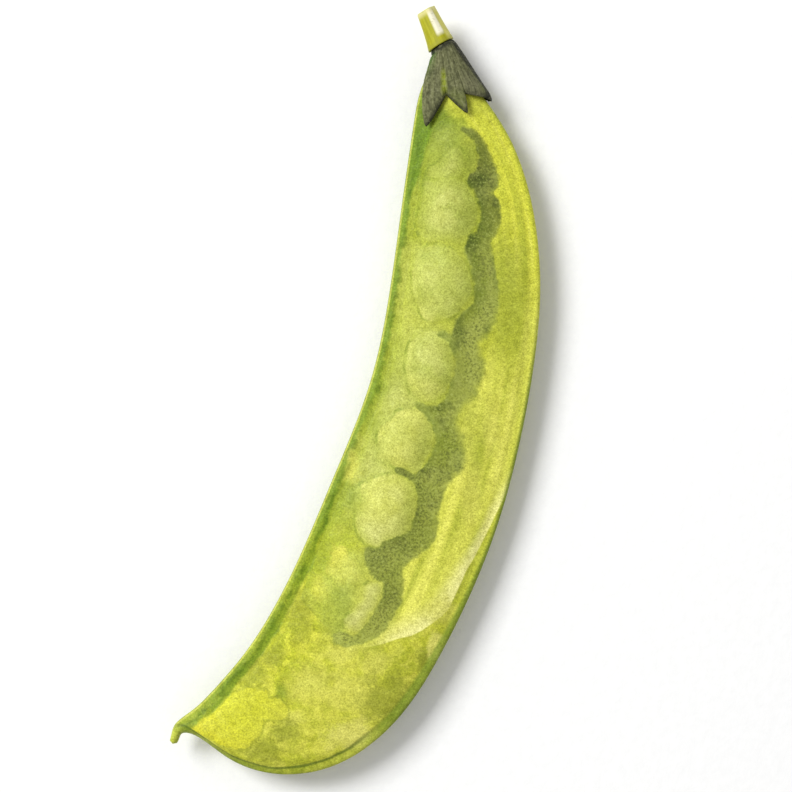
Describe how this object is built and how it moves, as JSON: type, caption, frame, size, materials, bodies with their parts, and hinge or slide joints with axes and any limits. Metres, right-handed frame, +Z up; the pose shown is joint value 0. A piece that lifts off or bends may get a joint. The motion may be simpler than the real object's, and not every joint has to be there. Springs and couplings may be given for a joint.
{
  "type": "snow pea pod",
  "caption": "Flat curved snow pea pod with a row of pea bulges, raised seams, a dried hooked tip, a pointed calyx and a cut stub of stem; it lies on its side.",
  "frame": {"origin": "middle of the pod's footprint, on the surface that it lies on", "axes": "+Z up through the pod's thickness, +Y along the pod towards the stem, +X across it from the seam that carries the peas to the back seam"},
  "size_m": [0.0322, 0.1018, 0.0072],
  "materials": {
    "pod": "fresh yellow-green pod skin, faintly waxy, with fine veins",
    "calyx": "dark olive-green sepals, matt",
    "stem": "pale yellow-green ribbed stalk with a cut end"
  },
  "bodies": {
    "root": {"pod": "pod", "calyx": "calyx", "stem": "stem"}
  },
  "joints": []
}
